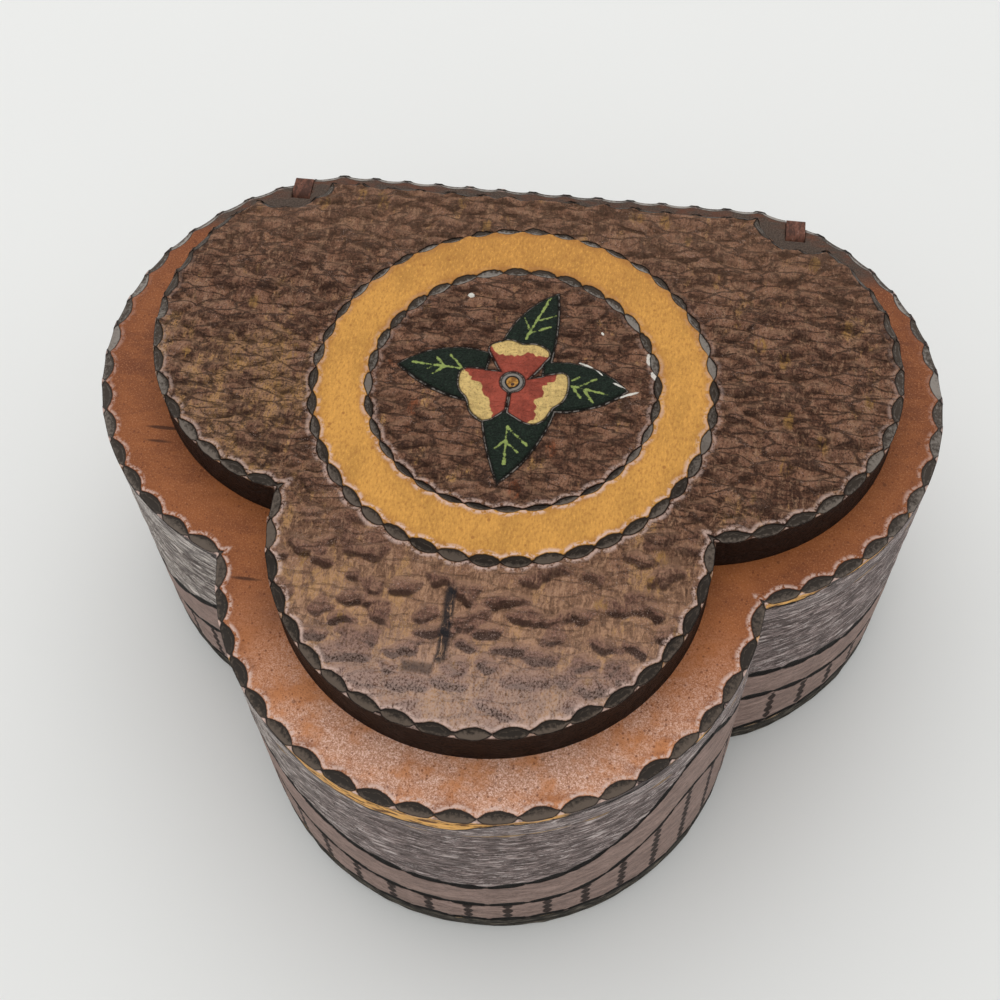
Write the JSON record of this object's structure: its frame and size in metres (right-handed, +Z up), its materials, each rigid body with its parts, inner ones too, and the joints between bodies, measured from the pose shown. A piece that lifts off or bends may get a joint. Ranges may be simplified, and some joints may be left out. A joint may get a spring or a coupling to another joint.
{
  "type": "trinket box",
  "caption": "Small wooden trinket box with a plan of round lobes and a straight back, gouge-carved walls, and a hinged lid that carries a thick carved plaque.",
  "frame": {"origin": "middle of the box's extents in plan, on the surface that it stands on", "axes": "+X to the right along the straight back edge, -Y towards the front lobe, +Z up out of the lid"},
  "size_m": [0.143, 0.1208, 0.0643],
  "materials": {
    "base_wood": "rough, weathered grey-green edge",
    "wall_wood": "gouged, stained and burnt outside, bare inside",
    "peg_wood": "bare reddish hardwood",
    "pin_steel": "plain wire",
    "lid_wood": "brick-orange stain, burnt notches round the rim",
    "plaque_wood": "gouged and burnt, with a golden ring and a painted flower"
  },
  "bodies": {
    "box": {"box_body": "wall_wood", "bottom_board": "base_wood", "hinge_peg_left": "peg_wood", "hinge_peg_right": "peg_wood"},
    "lid": {"lid_board": "lid_wood", "lid_plaque": "plaque_wood", "hinge_pin_left": "pin_steel", "hinge_pin_right": "pin_steel"}
  },
  "joints": [
    {"name": "lid_hinge", "type": "hinge", "parent": "box", "child": "lid", "pos_m": [0, 0.05595, 0.05395], "axis": [-1, 0, 0], "range_deg": [0, 95]}
  ]
}
